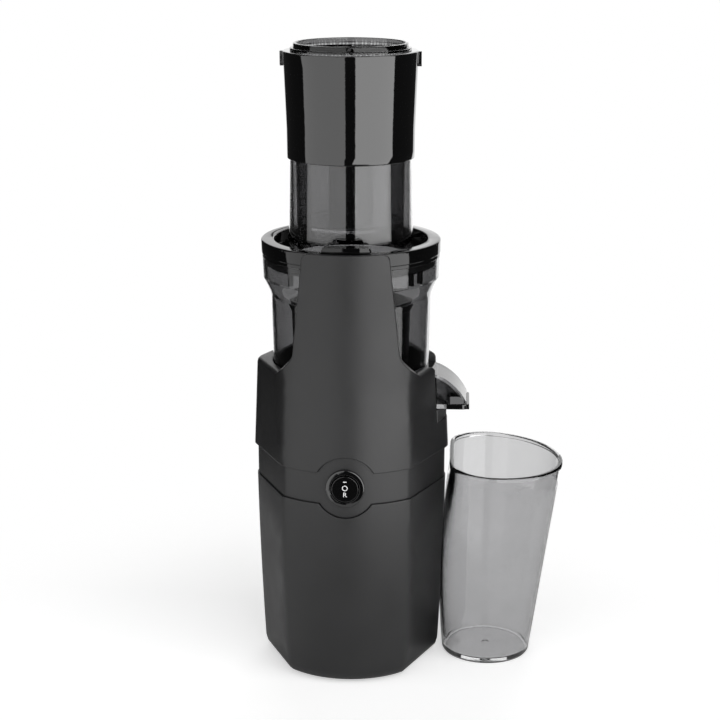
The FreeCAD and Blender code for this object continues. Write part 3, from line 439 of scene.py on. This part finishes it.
bar_mark()
ring_mark()
letter_mark()
print("switch marks at height", round(SWITCH_Z, 4))

# %% [markdown]
# The cup is a thin tumbler that is round at its foot and pressed flat at the rim where it stands by the
# base. It starts as one circle, and each step extrudes the open edge and settles it at the next level:
# up the outside, over the bead at the rim, down the inside and across the floor. The rim slopes a little,
# highest beside the base, so that the last drops run away from it.

# %% Juice cup
CUP_LOW, CUP_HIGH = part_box("juice_cup")
CUP_X = 97.0 * MM
CUP_Y = 7.0 * MM
CUP_TALL = CUP_HIGH.z - CUP_LOW.z
CUP_FLAT_X = 70.2 * MM  # where the flattened side stands beside the base
CUP_SOFT = 5.0 * MM  # how softly the round side runs into the flattened one
CUP_SLOPE = 0.05
CUP_NARROWS = 0.2  # share of its width that the flattened side loses at the rim
CUP_SEGMENTS = 96
CUP_WALL = 2.0  # the cup's levels are in millimetres, from here on
FOOT_RADIUS = 31.5
RIM_RADIUS = 51.0
RISES = (0.0, 0.1, 0.25, 0.4, 0.55, 0.7, 0.85, 1.0)


def cup_level(verts, angles, radius, height, wall=0.0):
    """Settles one ring of the cup: round low down, flattened and sloped towards the rim."""
    rise = height / CUP_TALL
    for vert, angle in zip(verts, angles):
        x = CUP_X + radius * math.cos(angle)
        y = CUP_Y + radius * math.sin(angle)
        gap = (x - CUP_FLAT_X - wall) / CUP_SOFT
        held = CUP_FLAT_X + wall + CUP_SOFT * (math.log1p(math.exp(-abs(gap))) + max(gap, 0.0))
        x += (held - x) * min(1.0, rise * 1.02)
        pull = max(0.0, CUP_X - x) / (CUP_X - CUP_FLAT_X)
        y = CUP_Y + (y - CUP_Y) * (1 - CUP_NARROWS * rise * pull ** 2)
        slope = CUP_SLOPE * (CUP_X + 2 * MM - x) * max(0.0, rise - 0.5) * 2
        vert.co = Vector((x, y, CUP_LOW.z + height + slope))


def cup_levels():
    """The levels from the underside, up the outside, over the bead, down the inside and across the floor:
    (radius, height, how far the flattened side is set in)."""
    tall = CUP_TALL / MM
    widens = RIM_RADIUS - FOOT_RADIUS
    top = tall - 1.2
    foot = [(27.0, 1.0, 0.0), (27.6, 0.0, 0.0), (30.6, 0.0, 0.0)]
    side = [(FOOT_RADIUS + widens * t, 1.4 + (tall - 5.8) * t, 0.0) for t in RISES]
    bead = [(51.9, top - 3.0, -0.9), (51.9, top - 0.5, -0.9), (51.3, top, -0.3), (49.6, top, 1.4),
            (49.0, top - 0.6, 2.0)]
    inside = [(29.4 + widens * t, 4.4 + (tall - 8.8) * t, CUP_WALL) for t in reversed(RISES)]
    floor = [(radius, 3.5, 0.0) for radius in (27.6, 27.1, 3.0, 2.4)] + [(2.0, 3.0, 0.0)]
    return foot + side + bead + inside + floor


def tumbler():
    """The cup, one extruded ring for each level."""
    levels = cup_levels()
    bm = bmesh.new()
    bmesh.ops.create_circle(bm, cap_ends=False, segments=CUP_SEGMENTS, radius=levels[0][0] * MM)
    verts = list(bm.verts)
    angles = [math.atan2(v.co.y, v.co.x) for v in verts]
    cup_level(verts, angles, levels[0][0] * MM, levels[0][1] * MM)
    first = edges = list(bm.edges)
    for radius, height, wall in levels[1:]:
        made = bmesh.ops.extrude_edge_only(bm, edges=edges)["geom"]
        fresh = {item for item in made if isinstance(item, bmesh.types.BMVert)}
        edges = [item for item in made if isinstance(item, bmesh.types.BMEdge) and set(item.verts) <= fresh]
        below = set(verts)
        above = {edge.other_vert(vert): vert for vert in fresh for edge in vert.link_edges
                 if edge.other_vert(vert) in below}
        verts = [above[v] for v in verts]
        cup_level(verts, angles, radius * MM, height * MM, wall * MM)
    bmesh.ops.edgeloop_fill(bm, edges=first)
    bmesh.ops.edgeloop_fill(bm, edges=edges)
    bmesh.ops.recalc_face_normals(bm, faces=bm.faces)
    piece = as_piece(bm, "cup_tumbler", "cup", "cup", sharp=50.0)
    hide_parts("juice_cup")
    return piece


cup = tumbler()
print("cup faces:", len(cup.data.polygons))

# %% [markdown]
# The pusher is hollow, and in its mouth a dark round core stands on a cross web, as a grip for the hand.
# The core shows through the smoke walls as the dark middle of the tube. It is a turned cup: a disc extruded
# up, inset at its top, and sunk there to make the well.

# %% Core of the pusher
PUSHER_LOW, PUSHER_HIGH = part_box("pusher")
CORE_RADIUS = 15.2 * MM
CORE_WALL = 1.6 * MM
CORE_LOW = PUSHER_LOW.z + 3 * MM
CORE_HIGH = PUSHER_HIGH.z - 4.0 * MM
CORE_FLOOR = PUSHER_HIGH.z - 26 * MM


def turned_cup(radius, wall, low, high, floor):
    """A round cup about the axis, open at the top."""
    bm = bmesh.new()
    bmesh.ops.create_circle(bm, cap_ends=True, segments=64, radius=radius)
    bmesh.ops.translate(bm, vec=(0, 0, low), verts=bm.verts)
    base = bm.faces[:]
    grown = bmesh.ops.extrude_face_region(bm, geom=base)["geom"]
    top = [v for v in grown if isinstance(v, bmesh.types.BMVert)]
    bmesh.ops.translate(bm, vec=(0, 0, high - low), verts=top)
    cap = [f for f in grown if isinstance(f, bmesh.types.BMFace)]
    bmesh.ops.inset_region(bm, faces=cap, thickness=wall)
    well = bmesh.ops.extrude_face_region(bm, geom=cap)["geom"]
    sunk = [v for v in well if isinstance(v, bmesh.types.BMVert)]
    bmesh.ops.delete(bm, geom=cap, context="FACES_ONLY")
    bmesh.ops.translate(bm, vec=(0, 0, floor - high), verts=sunk)
    bmesh.ops.recalc_face_normals(bm, faces=bm.faces)
    return bm


core = turned_cup(CORE_RADIUS, CORE_WALL, CORE_LOW, CORE_HIGH, CORE_FLOOR)
as_piece(core, "pusher_core", "pusher", "smoke", FINISHES["gloss_black"])
print("core height in mm:", round((CORE_HIGH - CORE_LOW) / MM, 1))

# %% [markdown]
# The juice spout ends in a thick dark lip: a rectangle with its outer corners rounded, inset to a frame and
# extruded. Below it a low sill, pointed like the housing's side, closes the notch that the spout lies in. The
# bowl's wide band has upright ribs inside that hold the basket.

# %% Spout lip, notch sill and bowl ribs
BOWL_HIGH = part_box("juice_bowl")[1]
LIP_HALF = 16.9 * MM
LIP_START = 66.6 * MM
LIP_LOW = 186.8 * MM
LIP_TALL = 3.2 * MM
LIP_WIDE = 3.4 * MM
LIP_CORNER = 5.0 * MM
SILL_LOW = Vector((58.0, -17.6, 177.2)) * MM
SILL_HIGH = Vector((70.0, 17.6, 186.4)) * MM
SILL_TURN = math.radians(19.2)
SILL_RIDGE = 67.0 * MM
SILL_ROUND = 2.5 * MM
RIB_DEGREES = (-131, -42, -33, 49, 138)
RIB_RADIUS = 55.7 * MM
RIB_DEEP, RIB_WIDE = 3.2 * MM, 1.5 * MM
RIB_LOW, RIB_HIGH = 278.5 * MM, 289.0 * MM


def spout_lip():
    """The dark frame round the mouth of the juice spout."""
    bm = bmesh.new()
    bmesh.ops.create_grid(bm, x_segments=1, y_segments=1, size=1.0)
    length = BOWL_HIGH.x - LIP_START
    middle = LIP_START + length / 2
    bmesh.ops.scale(bm, vec=(length / 2, LIP_HALF, 1), verts=bm.verts)
    bmesh.ops.translate(bm, vec=(middle, 0, LIP_LOW), verts=bm.verts)
    outer = [v for v in bm.verts if v.co.x > middle]
    bmesh.ops.bevel(bm, geom=outer, affect="VERTICES", offset=LIP_CORNER, segments=8, profile=0.5,
                    material=-1)
    faces = bm.faces[:]
    bmesh.ops.inset_region(bm, faces=faces, thickness=LIP_WIDE, use_boundary=True)
    bmesh.ops.delete(bm, geom=faces, context="FACES_ONLY")
    grown = bmesh.ops.extrude_face_region(bm, geom=bm.faces[:])["geom"]
    top = [v for v in grown if isinstance(v, bmesh.types.BMVert)]
    bmesh.ops.translate(bm, vec=(0, 0, LIP_TALL), verts=top)
    bmesh.ops.recalc_face_normals(bm, faces=bm.faces)
    as_piece(bm, "spout_lip", "bowl", "silicone", FINISHES["gloss_black"])


def block(low, high):
    """A plain box between two corners."""
    bm = bmesh.new()
    bmesh.ops.create_cube(bm, size=1.0)
    bmesh.ops.scale(bm, vec=high - low, verts=bm.verts)
    bmesh.ops.translate(bm, vec=(low + high) / 2, verts=bm.verts)
    return bm


def notch_sill():
    """The low wall that closes the housing's notch up to the spout: a block cut to a rounded ridge."""
    bm = block(SILL_LOW, SILL_HIGH)
    for side in (-1, 1):
        across = Vector((math.cos(SILL_TURN), side * math.sin(SILL_TURN), 0.0))
        cut = bmesh.ops.bisect_plane(bm, geom=bm.verts[:] + bm.edges[:] + bm.faces[:], dist=1e-7,
                                     plane_co=(SILL_RIDGE, 0, 0), plane_no=across, clear_outer=True)
        rim = [item for item in cut["geom_cut"] if isinstance(item, bmesh.types.BMEdge)]
        bmesh.ops.edgeloop_fill(bm, edges=rim)
    ridge = [e for e in bm.edges if all(abs(v.co.y) < 1e-6 and v.co.x > SILL_RIDGE - 1e-5 for v in e.verts)]
    bmesh.ops.bevel(bm, geom=ridge, affect="EDGES", offset=SILL_ROUND, segments=6, profile=0.5, material=-1)
    bmesh.ops.recalc_face_normals(bm, faces=bm.faces)
    as_piece(bm, "notch_sill", BODY_OF["upper_housing"], SLOTS["upper_housing"])


def band_rib(degrees):
    """One upright rib inside the bowl's band."""
    half = Vector((RIB_DEEP, RIB_WIDE, 0.0)) / 2
    bm = block(Vector((RIB_RADIUS, 0, RIB_LOW)) - half, Vector((RIB_RADIUS, 0, RIB_HIGH)) + half)
    turn = Matrix.Rotation(math.radians(degrees), 3, "Z")
    bmesh.ops.rotate(bm, cent=(0, 0, 0), matrix=turn, verts=bm.verts)
    as_piece(bm, "band_rib_%d" % (degrees % 360), "bowl", "strainer")


spout_lip()
notch_sill()
for degrees in RIB_DEGREES:
    band_rib(degrees)
print("lip reaches", round(BOWL_HIGH.x, 4))
